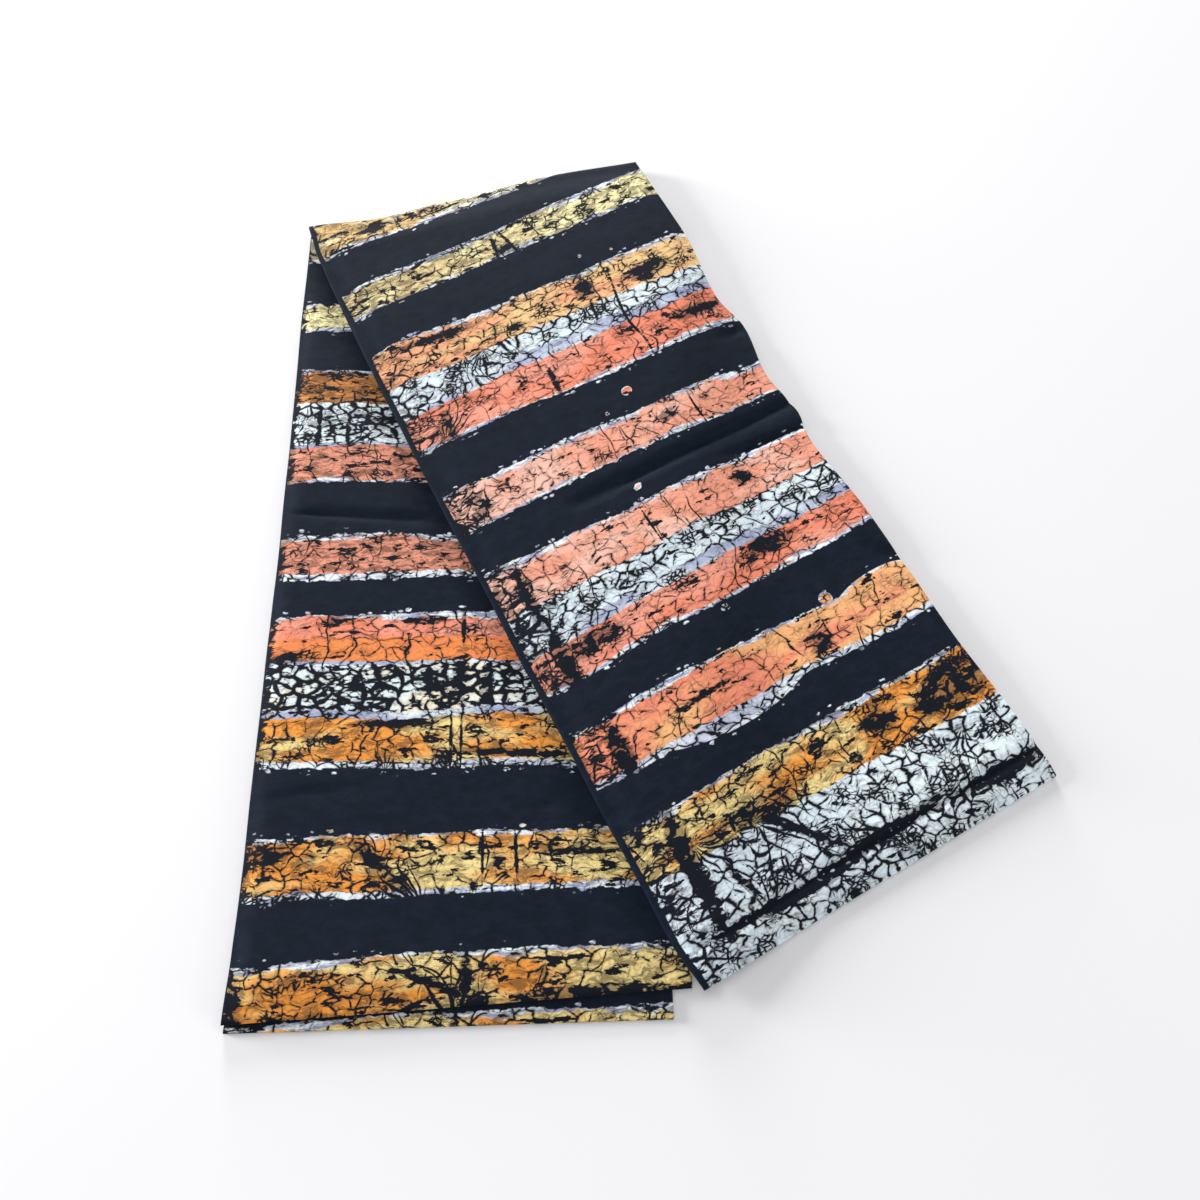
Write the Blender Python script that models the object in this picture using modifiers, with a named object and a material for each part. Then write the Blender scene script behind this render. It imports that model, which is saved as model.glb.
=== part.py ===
"""A length of wax-resist dyed cotton, folded into a flat band and laid down in a V, as one solid.

The cotton is folded in four across its width, so one leaf of the band is four plies of cloth.
The band goes back and forth: four passes, each with a left leg, the oblique fold and a right leg.
Metres, +Z up. The origin is at the middle of the underside.
"""

import math

import bmesh
import bpy
from mathutils import Matrix, Vector

# The cotton and the band that it is folded into
CLOTH_WIDTH = 1.143
PLIES = 4
BAND_WIDTH = CLOTH_WIDTH / PLIES
LEAF_THICKNESS = 0.0012
LEAF_PITCH = 0.0016

# How the V lies: half the angle between its legs, and how far its fold is turned from the X axis
HALF_ANGLE = math.radians(12.9)
HEADING = math.radians(17.85)

# Length of each leg at its left and its right edge, from the corner where the fold starts
LEG_LENGTH = {
    "left": (0.6245, 0.6265),
    "right": (0.6780, 0.6755),
}

# The path of the band, one row for each leaf. Levels count up from the floor.
# Columns: leg, level, way along it (+1 is away from the fold), how much of the leg's
# length it reaches at its left and right edge, shift of its right edge at the leg's end
LEAVES = (
    ("left", 3, -1, 0.992, 0.974, 0.0010),
    ("right", 4, 1, 0.997, 0.997, -0.0040),
    ("right", 7, -1, 0.997, 0.997, -0.0040),
    ("left", 0, 1, 0.998, 0.998, -0.0110),
    ("left", 1, -1, 0.998, 0.998, -0.0110),
    ("right", 6, 1, 0.978, 0.978, -0.0040),
    ("right", 5, -1, 0.978, 0.978, -0.0040),
    ("left", 2, 1, 0.991, 0.975, 0.0010),
)
TOP_LEVEL = {"left": 3, "right": 7}
LEAVES_BELOW_RIGHT = TOP_LEVEL["left"] + 1

# The edges aren't straight. Columns: share of the leg's length, shift of the left edge,
# shift of the right edge, both towards the right
EDGE_WAVES = {
    "left": (
        (0.00, 0.0000, 0.0000),
        (0.40, 0.0028, 0.0000),
        (0.93, 0.0015, 0.0000),
        (1.00, -0.0010, 0.0000),
    ),
    "right": (
        (0.00, 0.0000, 0.0000),
        (0.05, -0.0044, 0.0000),
        (0.13, -0.0066, 0.0003),
        (0.26, -0.0082, -0.0090),
        (0.31, -0.0084, -0.0015),
        (0.40, -0.0088, -0.0112),
        (0.46, -0.0086, -0.0065),
        (0.51, -0.0082, -0.0125),
        (0.63, -0.0076, -0.0055),
        (0.78, -0.0062, -0.0055),
        (0.95, -0.0046, -0.0010),
        (1.00, 0.0000, 0.0000),
    ),
}

# The oblique fold isn't straight either. Columns: share of the fold's length, shift outwards.
# The shift dies away along both legs within the reach.
FOLD_WAVE = (
    (0.00, -0.0040),
    (0.21, -0.0090),
    (0.40, -0.0045),
    (0.76, 0.0035),
    (1.00, 0.0015),
)
FOLD_WAVE_REACH = 0.090

# The right leg lies on the left one. It starts to come down this far past its edge, and takes this
# distance to reach the floor.
DROP_START = 0.014
DROP_WIDTH = 0.070

# The top leaf of each leg is a little slack. It lies this much higher between its creases, but not
# within these distances of its edges, of its ends, and of the right leg where that lies on it.
SLACK_RISE = {"left": 0.0022, "right": 0.0030}
SLACK_EDGE = 0.022
SLACK_END = 0.045
COVERED_MARGIN = 0.033
COVERED_FADE = 0.030

# Creases across the top leaves. Columns: distance along the leg at the crease's left end and at
# its right end, distance across the leg of its left and right end, half its width, share of the
# slack that it takes away
CREASES = {
    "left": (
        (0.272, 0.284, 0.020, 0.130, 0.014, 1.00),
        (0.484, 0.479, 0.004, 0.085, 0.010, 0.45),
        (0.495, 0.490, 0.180, 0.226, 0.010, 0.45),
    ),
    "right": (
        (0.343, 0.337, 0.090, 0.300, 0.017, 1.00),
        (0.372, 0.377, 0.205, 0.300, 0.010, 0.55),
        (0.262, 0.256, 0.250, 0.300, 0.012, 0.60),
        (0.455, 0.520, 0.245, 0.300, 0.016, 0.60),
    ),
}
CREASE_END_FADE = 0.025

# Past the short inner fold, the top leaf of the right leg sinks towards the leaf below
SINK_START = 0.985
SINK_DEPTH = 0.0020

# The mesh: its columns as shares of the band's width, its steps along each leg and round each fold,
# and the place from which the rows of a leaf draw together where its leg ends short
COLUMNS = (0.0, 0.05, 0.15, 0.27, 0.39, 0.50, 0.61, 0.73, 0.85, 0.95, 1.0)
RIGHT_STEPS = 34
LEFT_TOP_STEPS = 34
LEFT_STEPS = 8
TURN_STEPS = 6
SHORTENED_FROM = 0.90

CLOTH_COLOUR = (0.040, 0.046, 0.062, 1.0)
CLOTH_ROUGHNESS = 0.85


def mix(start, end, share):
    """The value this share of the way from start to end."""
    return start + (end - start) * share


def smooth(share):
    """Rises smoothly from 0 to 1 as share goes from 0 to 1."""
    share = min(1.0, max(0.0, share))
    return share * share * (3.0 - 2.0 * share)


def read_wave(rows, place, column):
    """The value of a table's column at a place between its rows, smoothly joined."""
    for low, high in zip(rows, rows[1:]):
        if place <= high[0]:
            share = (place - low[0]) / (high[0] - low[0])
            return mix(low[column], high[column], smooth(share))
    return rows[-1][column]


def leg_axes(leg):
    """The directions along a leg, away from the fold, and across it, to the right."""
    side = -1.0 if leg == "left" else 1.0
    along = Vector((side * math.sin(HALF_ANGLE), -math.cos(HALF_ANGLE)))
    across = Vector((math.cos(HALF_ANGLE), side * math.sin(HALF_ANGLE)))
    return along, across


def in_leg(leg, point):
    """A point's distances along and across a leg."""
    along, across = leg_axes(leg)
    return point.dot(along), point.dot(across)


def place_on_leg(leaf, place, share):
    """Where a leaf lies on the floor plan, at this place along the leg and share of its width."""
    leg, _, _, reach_left, reach_right, end_shift = leaf
    along, across = leg_axes(leg)
    side = -1.0 if leg == "left" else 1.0
    reach = mix(reach_left, reach_right, share)
    if place > SHORTENED_FROM:
        last = (place - SHORTENED_FROM) / (1.0 - SHORTENED_FROM)
        place = mix(SHORTENED_FROM, reach, last)
    at_fold = side * share * BAND_WIDTH * math.tan(HALF_ANGLE)
    at_end = mix(*LEG_LENGTH[leg], share)
    left_shift = read_wave(EDGE_WAVES[leg], place, 1)
    right_shift = read_wave(EDGE_WAVES[leg], place, 2) + end_shift * smooth(place)
    distance_along = mix(at_fold, at_end, place)
    distance_across = share * BAND_WIDTH + mix(left_shift, right_shift, share)
    point = along * distance_along + across * distance_across
    fade = 1.0 - smooth((distance_along - at_fold) / FOLD_WAVE_REACH)
    point.y += read_wave(FOLD_WAVE, share, 1) * fade
    return point


def crease_share(leg, along, across):
    """How much of the slack the creases leave at this point of a leg."""
    left = 1.0
    for start, end, near, far, half_width, depth in CREASES[leg]:
        line = mix(start, end, (across - near) / (far - near))
        ends = smooth((across - near) / CREASE_END_FADE) * smooth((far - across) / CREASE_END_FADE)
        nearness = 1.0 - smooth(abs(along - line) / half_width)
        left *= 1.0 - depth * ends * nearness
    return left


def slack(leg, point, place):
    """How much higher than its pitch the top leaf of a leg lies at a point of the floor plan."""
    along, across = in_leg(leg, point)
    length = sum(LEG_LENGTH[leg]) / 2.0
    rise = smooth(across / SLACK_EDGE) * smooth((BAND_WIDTH - across) / SLACK_EDGE)
    rise *= smooth(place * length / SLACK_END) * smooth((1.0 - place) * length / SLACK_END)
    if leg == "left":
        covered = -in_leg("right", point)[1] - COVERED_MARGIN
        rise *= smooth(covered / COVERED_FADE)
    return SLACK_RISE[leg] * rise * crease_share(leg, along, across)


def carried_height(point):
    """The height of what the right leg lies on: the left leg, and past its edge the floor."""
    fold_end = Vector((BAND_WIDTH / math.cos(HALF_ANGLE), 0.0))
    across = leg_axes("left")[1]
    past_edge = (point - fold_end).dot(across)
    return LEAVES_BELOW_RIGHT * LEAF_PITCH * (1.0 - smooth((past_edge - DROP_START) / DROP_WIDTH))


def leaf_height(leaf, point, place):
    """The height of the middle of a leaf at a point of the floor plan."""
    leg, level = leaf[0], leaf[1]
    height = LEAF_THICKNESS / 2.0
    if leg == "right":
        height += carried_height(point) + (level - LEAVES_BELOW_RIGHT) * LEAF_PITCH
    else:
        height += level * LEAF_PITCH
    if level == TOP_LEVEL[leg]:
        height += slack(leg, point, place)
        if leg == "right":
            height -= SINK_DEPTH * smooth((place - SINK_START) / (1.0 - SINK_START))
    return height


def leaf_row(leaf, place):
    """One row of points across a leaf."""
    row = []
    for share in COLUMNS:
        point = place_on_leg(leaf, place, share)
        row.append(Vector((point.x, point.y, leaf_height(leaf, point, place))))
    return row


def turn_rows(before, after, outwards):
    """The rows round a half turn that joins two rows, one over the other."""
    rows = []
    for step in range(1, TURN_STEPS):
        angle = math.pi * step / TURN_STEPS
        row = []
        for start, end in zip(before, after):
            radius = abs(end.z - start.z) / 2.0
            point = mix(start, end, (1.0 - math.cos(angle)) / 2.0)
            row.append(point + outwards * radius * math.sin(angle))
        rows.append(row)
    return rows


def leaf_places(leaf):
    """The places along the leg where a leaf has its rows, in the order of the path."""
    leg, level, way = leaf[:3]
    steps = LEFT_STEPS
    if leg == "right":
        steps = RIGHT_STEPS
    elif level == TOP_LEVEL["left"]:
        steps = LEFT_TOP_STEPS
    places = [step / steps for step in range(steps + 1)]
    if leg == "right":
        places.insert(-1, SINK_START)
    return places if way > 0 else places[::-1]


def band_rows():
    """All rows of the band, from its first end to its last."""
    rows = []
    for number, leaf in enumerate(LEAVES):
        new_rows = [leaf_row(leaf, place) for place in leaf_places(leaf)]
        if number:
            same_leg = leaf[0] == LEAVES[number - 1][0]
            outwards = leg_axes(leaf[0])[0].to_3d() if same_leg else Vector((0.0, 1.0, 0.0))
            rows.extend(turn_rows(rows[-1], new_rows[0], outwards))
        rows.extend(new_rows)
    return rows


def cloth_mesh():
    """The band's middle surface: a flat grid whose points are moved to their places."""
    rows = band_rows()
    last_row, last_column = len(rows) - 1, len(COLUMNS) - 1
    mesh = bpy.data.meshes.new("cloth")
    grid = bmesh.new()
    bmesh.ops.create_grid(grid, x_segments=last_column, y_segments=last_row, size=1.0)
    for point in grid.verts:
        column = round((point.co.x + 1.0) / 2.0 * last_column)
        row = round((point.co.y + 1.0) / 2.0 * last_row)
        point.co = rows[row][column]
    grid.transform(Matrix.Rotation(HEADING, 4, "Z"))
    grid.to_mesh(mesh)
    grid.free()
    mesh.shade_smooth()
    return mesh


def stand_on_origin(mesh):
    """Moves the mesh so that the middle of its underside is at the origin."""
    for axis in (0, 1):
        values = [point.co[axis] for point in mesh.vertices]
        middle = (min(values) + max(values)) / 2.0
        for point in mesh.vertices:
            point.co[axis] -= middle


def dyed_cotton():
    """Dark indigo cotton, matt."""
    material = bpy.data.materials.new("dyed_cotton")
    material.use_nodes = True
    shader = material.node_tree.nodes["Principled BSDF"]
    shader.inputs["Base Color"].default_value = CLOTH_COLOUR
    shader.inputs["Roughness"].default_value = CLOTH_ROUGHNESS
    return material


def main():
    for old in list(bpy.data.objects):
        bpy.data.objects.remove(old)
    collection = bpy.data.collections.new("adire_cloth")
    bpy.context.scene.collection.children.link(collection)
    mesh = cloth_mesh()
    stand_on_origin(mesh)
    mesh.materials.append(dyed_cotton())
    cloth = bpy.data.objects.new("cloth", mesh)
    collection.objects.link(cloth)
    thicken = cloth.modifiers.new("leaf thickness", "SOLIDIFY")
    thicken.thickness = LEAF_THICKNESS
    thicken.offset = 0.0
    thicken.use_even_offset = True


main()
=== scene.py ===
"""The looks of a length of adire cloth, folded into a band and laid down in a V.

The cloth is one sheet on the folds of its solid. Its dye is drawn on a map in metres: U runs
across the band and V along it, from the left leg (below zero), over the oblique fold (zero), to
the right leg.
"""

import math

import bpy
from mathutils import Matrix, Vector, noise


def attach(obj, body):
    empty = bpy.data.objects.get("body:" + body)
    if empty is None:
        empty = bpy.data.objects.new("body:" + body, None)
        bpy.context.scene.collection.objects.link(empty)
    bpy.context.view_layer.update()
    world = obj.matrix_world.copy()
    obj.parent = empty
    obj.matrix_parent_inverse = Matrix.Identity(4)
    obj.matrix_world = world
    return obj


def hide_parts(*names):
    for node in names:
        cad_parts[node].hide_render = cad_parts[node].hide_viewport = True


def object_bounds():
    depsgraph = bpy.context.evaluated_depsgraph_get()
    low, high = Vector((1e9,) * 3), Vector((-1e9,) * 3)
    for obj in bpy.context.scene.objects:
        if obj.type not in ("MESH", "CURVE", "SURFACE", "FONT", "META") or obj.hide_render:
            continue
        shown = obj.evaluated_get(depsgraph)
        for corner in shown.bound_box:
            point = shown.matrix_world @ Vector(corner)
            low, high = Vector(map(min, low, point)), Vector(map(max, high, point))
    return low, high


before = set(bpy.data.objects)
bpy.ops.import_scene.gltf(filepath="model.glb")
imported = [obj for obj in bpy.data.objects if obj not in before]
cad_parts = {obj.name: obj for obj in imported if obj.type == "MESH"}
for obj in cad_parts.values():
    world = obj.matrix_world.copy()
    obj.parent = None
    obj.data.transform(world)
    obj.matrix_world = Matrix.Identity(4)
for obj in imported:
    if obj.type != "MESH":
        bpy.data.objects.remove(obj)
SOLID_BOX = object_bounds()

bl_info = {
    "name": "Folded adire cloth",
    "version": (1, 0, 0),
    "blender": (4, 5, 0),
    "location": "View3D > Sidebar > Cloth",
    "description": "Makes a wax-resist dyed cotton cloth, folded and laid in a V",
    "category": "Add Mesh",
}

MM = 0.001

# The band's path, as the solid has it, one row for each leaf. Levels count up from the floor.
# Columns: leg, level, way along it (+1 is away from the fold), how much of the leg's
# length it reaches at its left and right edge, shift of its right edge at the leg's end
LEAVES = (
    ("left", 3, -1, 0.992, 0.974, 0.0010),
    ("right", 4, 1, 0.997, 0.997, -0.0040),
    ("right", 7, -1, 0.997, 0.997, -0.0040),
    ("left", 0, 1, 0.998, 0.998, -0.0110),
    ("left", 1, -1, 0.998, 0.998, -0.0110),
    ("right", 6, 1, 0.978, 0.978, -0.0040),
    ("right", 5, -1, 0.978, 0.978, -0.0040),
    ("left", 2, 1, 0.991, 0.975, 0.0010),
)
TOP_LEVEL = {"left": 3, "right": 7}
LEAVES_BELOW_RIGHT = TOP_LEVEL["left"] + 1
SHORTENED_FROM = 0.90

# Length of each leg at its left and its right edge, from the corner where the fold starts
LEG_LENGTH = {
    "left": (0.6245, 0.6265),
    "right": (0.6780, 0.6755),
}

# The edges aren't straight. Columns: share of the leg's length, shift of the left edge,
# shift of the right edge, both towards the right
EDGE_WAVES = {
    "left": (
        (0.00, 0.0000, 0.0000),
        (0.40, 0.0028, 0.0000),
        (0.93, 0.0015, 0.0000),
        (1.00, -0.0010, 0.0000),
    ),
    "right": (
        (0.00, 0.0000, 0.0000),
        (0.05, -0.0044, 0.0000),
        (0.13, -0.0066, 0.0003),
        (0.26, -0.0082, -0.0090),
        (0.31, -0.0084, -0.0015),
        (0.40, -0.0088, -0.0112),
        (0.46, -0.0086, -0.0065),
        (0.51, -0.0082, -0.0125),
        (0.63, -0.0076, -0.0055),
        (0.78, -0.0062, -0.0055),
        (0.95, -0.0046, -0.0010),
        (1.00, 0.0000, 0.0000),
    ),
}

# How far the edges of single leaves stray, in how many waves, and how quickly this begins past
# the fold. The seeds make each leaf and each of its edges stray in its own way
EDGE_STRAY = 0.0012
EDGE_STRAY_WAVES = 9.0
EDGE_STRAY_BEGINS = 8.0
LEAF_SEED = 3.7
RIGHT_EDGE_SEED = 5.0

# The oblique fold. Columns: share of the fold's length, shift outwards
FOLD_WAVE = (
    (0.00, -0.0040),
    (0.21, -0.0090),
    (0.40, -0.0045),
    (0.76, 0.0035),
    (1.00, 0.0015),
)
FOLD_WAVE_REACH = 0.090

# Where the right leg comes down from the left one to the floor beside it
DROP_START = 0.014
DROP_WIDTH = 0.070

# The slack of the top leaves, and how near to edges, ends and the leg on top it dies away
SLACK_RISE = {"left": 0.0026, "right": 0.0036}
SLACK_EDGE = 0.014
SLACK_END = 0.030
COVERED_MARGIN = 0.012
COVERED_FADE = 0.018
SINK_START = 0.985
SINK_DEPTH = 0.0020

# Creases of the top leaves. Columns: distance along the leg at the crease's left and right end,
# distance across of its left and right end, half its width, share of the slack that it takes away
CREASES = {
    "left": (
        (0.272, 0.284, 0.012, 0.150, 0.008, 0.60),
        (0.273, 0.285, 0.006, 0.150, 0.0035, 1.00),
        (0.484, 0.479, 0.004, 0.085, 0.006, 0.40),
        (0.495, 0.490, 0.180, 0.226, 0.006, 0.40),
    ),
    "right": (
        (0.345, 0.338, 0.070, 0.300, 0.010, 0.60),
        (0.346, 0.337, 0.110, 0.300, 0.0035, 1.00),
        (0.359, 0.363, 0.200, 0.300, 0.006, 0.70),
        (0.262, 0.256, 0.250, 0.300, 0.008, 0.60),
        (0.455, 0.520, 0.245, 0.300, 0.014, 0.60),
        (0.654, 0.652, -0.030, 0.330, 0.006, 0.95),
    ),
}
CREASE_END_FADE = 0.025

# Soft unevenness of the top leaves: wave length across and along the band, and height
RIPPLES = (
    (0.150, 0.045, 0.00060),
    (0.060, 0.018, 0.00025),
)
RIPPLE_SEEDS = {"left": 9.2, "right": 11.5}

# The sheet's mesh: distances of the outer columns from each edge, the columns between them,
# and the steps along each leaf and round each fold and edge. The rows lie closer together at the
# sharpest creases: start, end and step along the leg
EDGE_COLUMNS = (0.0, 0.0012, 0.003, 0.0055, 0.009, 0.0135)
MIDDLE_COLUMNS = 46
TOP_STEPS = {"left": 190, "right": 206}
FINE_ROWS = {"left": (0.266, 0.292, 0.0012), "right": (0.329, 0.354, 0.0012)}
HIDDEN_STEPS = 40
TURN_STEPS = 10
RIM_STEPS = 4

# The dyed stripes, from the fold to the end of each leg. Columns: start at the left edge of the
# band, start at its right edge, end at both (distances along the leg), dye
STRIPES = {
    "left": (
        (-0.100, -0.100, 0.034, 0.034, "old gold"),
        (0.081, 0.074, 0.108, 0.106, "gold"),
        (0.146, 0.140, 0.177, 0.177, "burnt orange"),
        (0.177, 0.177, 0.212, 0.213, "bare crackle"),
        (0.212, 0.213, 0.216, 0.217, "pale indigo"),
        (0.216, 0.217, 0.248, 0.251, "dull coral"),
        (0.293, 0.293, 0.320, 0.323, "dull coral"),
        (0.320, 0.323, 0.327, 0.330, "bare edge"),
        (0.357, 0.353, 0.374, 0.372, "coral"),
        (0.374, 0.372, 0.390, 0.390, "orange"),
        (0.390, 0.390, 0.395, 0.395, "pale indigo"),
        (0.395, 0.395, 0.425, 0.426, "bare cells"),
        (0.425, 0.426, 0.430, 0.431, "pale indigo"),
        (0.430, 0.431, 0.460, 0.468, "orange to gold"),
        (0.460, 0.468, 0.465, 0.473, "bare edge"),
        (0.509, 0.509, 0.544, 0.540, "orange to gold"),
        (0.544, 0.540, 0.550, 0.546, "bare edge"),
        (0.587, 0.580, 0.680, 0.680, "orange to gold"),
    ),
    "right": (
        (-0.100, -0.100, 0.043, 0.044, "old gold"),
        (0.084, 0.071, 0.113, 0.104, "gold"),
        (0.151, 0.152, 0.185, 0.184, "peach"),
        (0.185, 0.184, 0.208, 0.201, "bare crackle"),
        (0.208, 0.201, 0.219, 0.211, "pale indigo"),
        (0.219, 0.211, 0.253, 0.252, "coral"),
        (0.293, 0.293, 0.330, 0.323, "pink coral"),
        (0.366, 0.363, 0.404, 0.395, "pink coral"),
        (0.404, 0.395, 0.427, 0.419, "bare crackle"),
        (0.427, 0.419, 0.435, 0.427, "pale indigo"),
        (0.435, 0.427, 0.464, 0.451, "coral"),
        (0.464, 0.451, 0.468, 0.455, "bare edge"),
        (0.498, 0.494, 0.534, 0.530, "coral to peach"),
        (0.534, 0.530, 0.539, 0.535, "bare edge"),
        (0.571, 0.566, 0.609, 0.606, "orange to gold"),
        (0.609, 0.606, 0.740, 0.740, "bare crackle"),
    ),
}

# The dyes. Columns: first colour, second colour that it drifts to, how close its crackle is,
# how mottled it is
DYES = {
    "old gold": ("#F8F2D2", "#E3BF80", 0.52, 1.00),
    "gold": ("#FBF2B8", "#E4CE98", 0.50, 0.90),
    "burnt orange": ("#D48C4C", "#B8783F", 0.55, 1.15),
    "orange": ("#F08F50", "#F08A58", 0.36, 0.40),
    "peach": ("#F5CB90", "#F2AC80", 0.52, 0.60),
    "coral": ("#EE8A6D", "#F29F88", 0.36, 0.45),
    "pink coral": ("#F0A086", "#F3BEAC", 0.36, 0.35),
    "dull coral": ("#E7987F", "#D6927C", 0.44, 0.90),
    "coral to peach": ("#F3B47C", "#EC8E70", 0.37, 0.35),
    "orange to gold": ("#EE9A42", "#F0D892", 0.56, 0.85),
    "bare crackle": ("#E6F4FA", "#D8E7F2", 0.78, 0.25),
    "bare cells": ("#E4F3F9", "#F3EAD6", 1.36, 0.30),
    "bare edge": ("#E4EEF5", "#C3CCE2", 0.72, 0.15),
    "pale indigo": ("#A9B3D2", "#DCE8F2", 0.65, 0.30),
}

# How much the drift to the second colour leans towards the V's middle, from edge to edge
DRIFT_LEAN = 0.30

# The ramps of the stripes hold distances into the dye of up to half of this, in metres
DISTANCE_RANGE = 0.120

# How much nearer to the fold the stripes of the lower leaves are, and how quickly this begins
HIDDEN_DYE_SHIFT = {"left": 0.040, "right": 0.0}
HIDDEN_SHIFT_BEGINS = 3.0

# Cloudy patterns of the dyeing. Columns: size across and along the band in millimetres, seed,
# detail, roughness
CLOUDS = {
    "drift": (60.0, 20.0, 4.4, 2.0, 0.5),
    "bare edge": (50.0, 24.0, 11.0, 1.0, 0.5),
    "brush strokes": (15.0, 1.7, 2.9, 2.0, 0.6),
    "lilac": (22.0, 2.6, 12.6, 2.0, 0.6),
    "wide cells": (30.0, 24.0, 1.7, 2.0, 0.5),
    "single cells": (9.0, 9.0, 6.4, 1.0, 0.5),
    "close cells": (24.0, 16.0, 8.3, 2.0, 0.5),
    "long cracks": (26.0, 34.0, 9.9, 1.0, 0.5),
    "sway of long cracks": (60.0, 42.0, 2.6, 1.0, 0.5),
    "sway of fans": (48.0, 48.0, 3.3, 1.0, 0.5),
    "reach of fans": (32.0, 32.0, 20.7, 1.0, 0.5),
    "blots": (17.0, 6.5, 6.6, 4.0, 0.62),
    "brown stains": (16.0, 5.5, 5.1, 5.0, 0.78),
    "grain": (3.4, 1.5, 7.9, 1.0, 0.5),
    "ground": (14.0, 7.0, 13.1, 4.0, 0.7),
    "uneven threads": (7.0, 2.4, 15.0, 2.0, 0.6),
}

# How the stripes' edges waver and how the cracks bend. Columns: those of the cloudy patterns,
# and how far this one moves a line, in millimetres
WAVERS = (
    (70.0, 60.0, 3.1, 0.0, 0.6, 6.0),
    (9.0, 8.0, 7.7, 1.0, 0.6, 3.0),
    (3.0, 1.5, 5.2, 1.0, 0.6, 1.4),
)
BENDS = (
    (17.0, 17.0, 4.0, 1.0, 0.5, 9.0),
    (4.5, 4.5, 5.0, 1.0, 0.5, 1.5),
)

# The cells of the crackle across and along the band, and the spacing of the long cracks, in
# millimetres. CRACK_SWAY is how many spacings the cracks sway by at most
WIDE_CELL = (11.5, 8.0)
CLOSE_CELL = (4.6, 3.1)
CRACK_SPACING = 19.0
CRACK_SWAY = 1.8

# Half the greatest width of the lines, in millimetres: between wide cells where the closeness is
# 1, between close cells (from and to which closeness they end, and the width at each) and of long
# cracks. Then the depth into the blackest patches
WIDE_LINE_MOST = 1.1
CLOSE_LINES_END = (0.9, 1.3, 0.7, -0.6)
CRACK_MOST = 0.7
BLACKEST = 0.6

# Half the width of each kind of dark line, in millimetres. Columns: how much of it comes from the
# closeness of the dye's crackle, how much from the cloudy pattern, and what it starts from
LINES = {
    "wide cells": (1.3, 3.0, -3.4),
    "close cells": (1.6, 6.0, -4.4),
    "blackest patches": (12.5, 28.0, -30.0),
    "long cracks": (0.0, 6.0, -3.3),
}

# Depth into blots and stains, in millimetres. Columns: how much of it comes from the cloudy
# pattern, from the dye's mottling and from the dark marks, and what it starts from
STAINS = {
    "blots": (28.0, 2.6, 0.6, -19.0),
    "brown stains": (18.5, 3.0, 0.55, -12.3),
}

# How softly one colour gives way to the next: from and to which depth in millimetres, or which
# value of a cloudy pattern. The brown never hides the dye wholly: it goes from 0 to 0.72
DRIFT_FADE = (0.35, 0.65)
LILAC_FADE = (0.45, 0.62)
BARE_FADE = (2.1, 2.9)
BROWN_FADE = (-1.8, 1.4, 0.0, 0.72)
BLACK_FADE = (-0.3, 0.4)
DYE_FADE = (-0.3, 0.3)

# The dark ground: from and to which value of its cloudy pattern, how light it is at each
GROUND_UNEVEN = (0.3, 0.7, 0.7, 1.35)

# What the dark marks add to the closeness of the crackle and to the openings in its blackest
# patches, and how grainy the edges of all that is dark are, in millimetres
CLOSENESS_BY_MARKS = 0.11
OPENING_BY_MARKS = -0.09
GRAIN = 0.9

# The bare cotton along the stripes' edges: from and to which value of its cloudy pattern, its
# width at each in millimetres, and how much the brush strokes add or take
BARE_WIDTH = (0.36, 0.66, 0.9, 5.2)
BARE_BRUSHED = 5.0

# Width of the painted shade along the left edge of the band on the right leg, in millimetres:
# the dark ground is drawn there in place of the shadow at that edge
EDGE_SHADE_WIDTH = 2.8

# Fine drops of wax: their spacing across and along the band, and how far beside a stripe they
# fell, in millimetres. Then for those beside and on the stripes: the share that has the least
# size, that size (there is no drop where it is below zero) and the greatest
SPATTER_SPACING = (5.5, 3.2)
SPATTER_REACH = 3.8
SPATTER_BESIDE = (0.76, -0.6, 1.6)
SPATTER_ON_STRIPES = (0.2, 0.1, 1.9)

# Single drops of wax beside the stripes and bulges of the stripes themselves, in millimetres.
# Columns: distance along, distance across, half its size across, half its size along
DRIPS = {
    "right": (
        (138, 193, 1.6, 1.6),
        (143, 220, 1.3, 1.3),
        (274, 172, 4.4, 4),
        (286, 150, 1.7, 1.7),
        (353, 140, 2.8, 2.6),
        (325, 133, 2.2, 2.2),
        (467, 147, 4, 2.6),
        (495, 217, 5.4, 5),
        (78, 171, 1.2, 1.2),
        (521, 112, 72, 25),
        (512, 262, 48, 19.5),
    ),
}

# The depth at the middle of a small drop, in millimetres: enough for its dye to show
DRIP_STEEPNESS = 11.0

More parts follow.
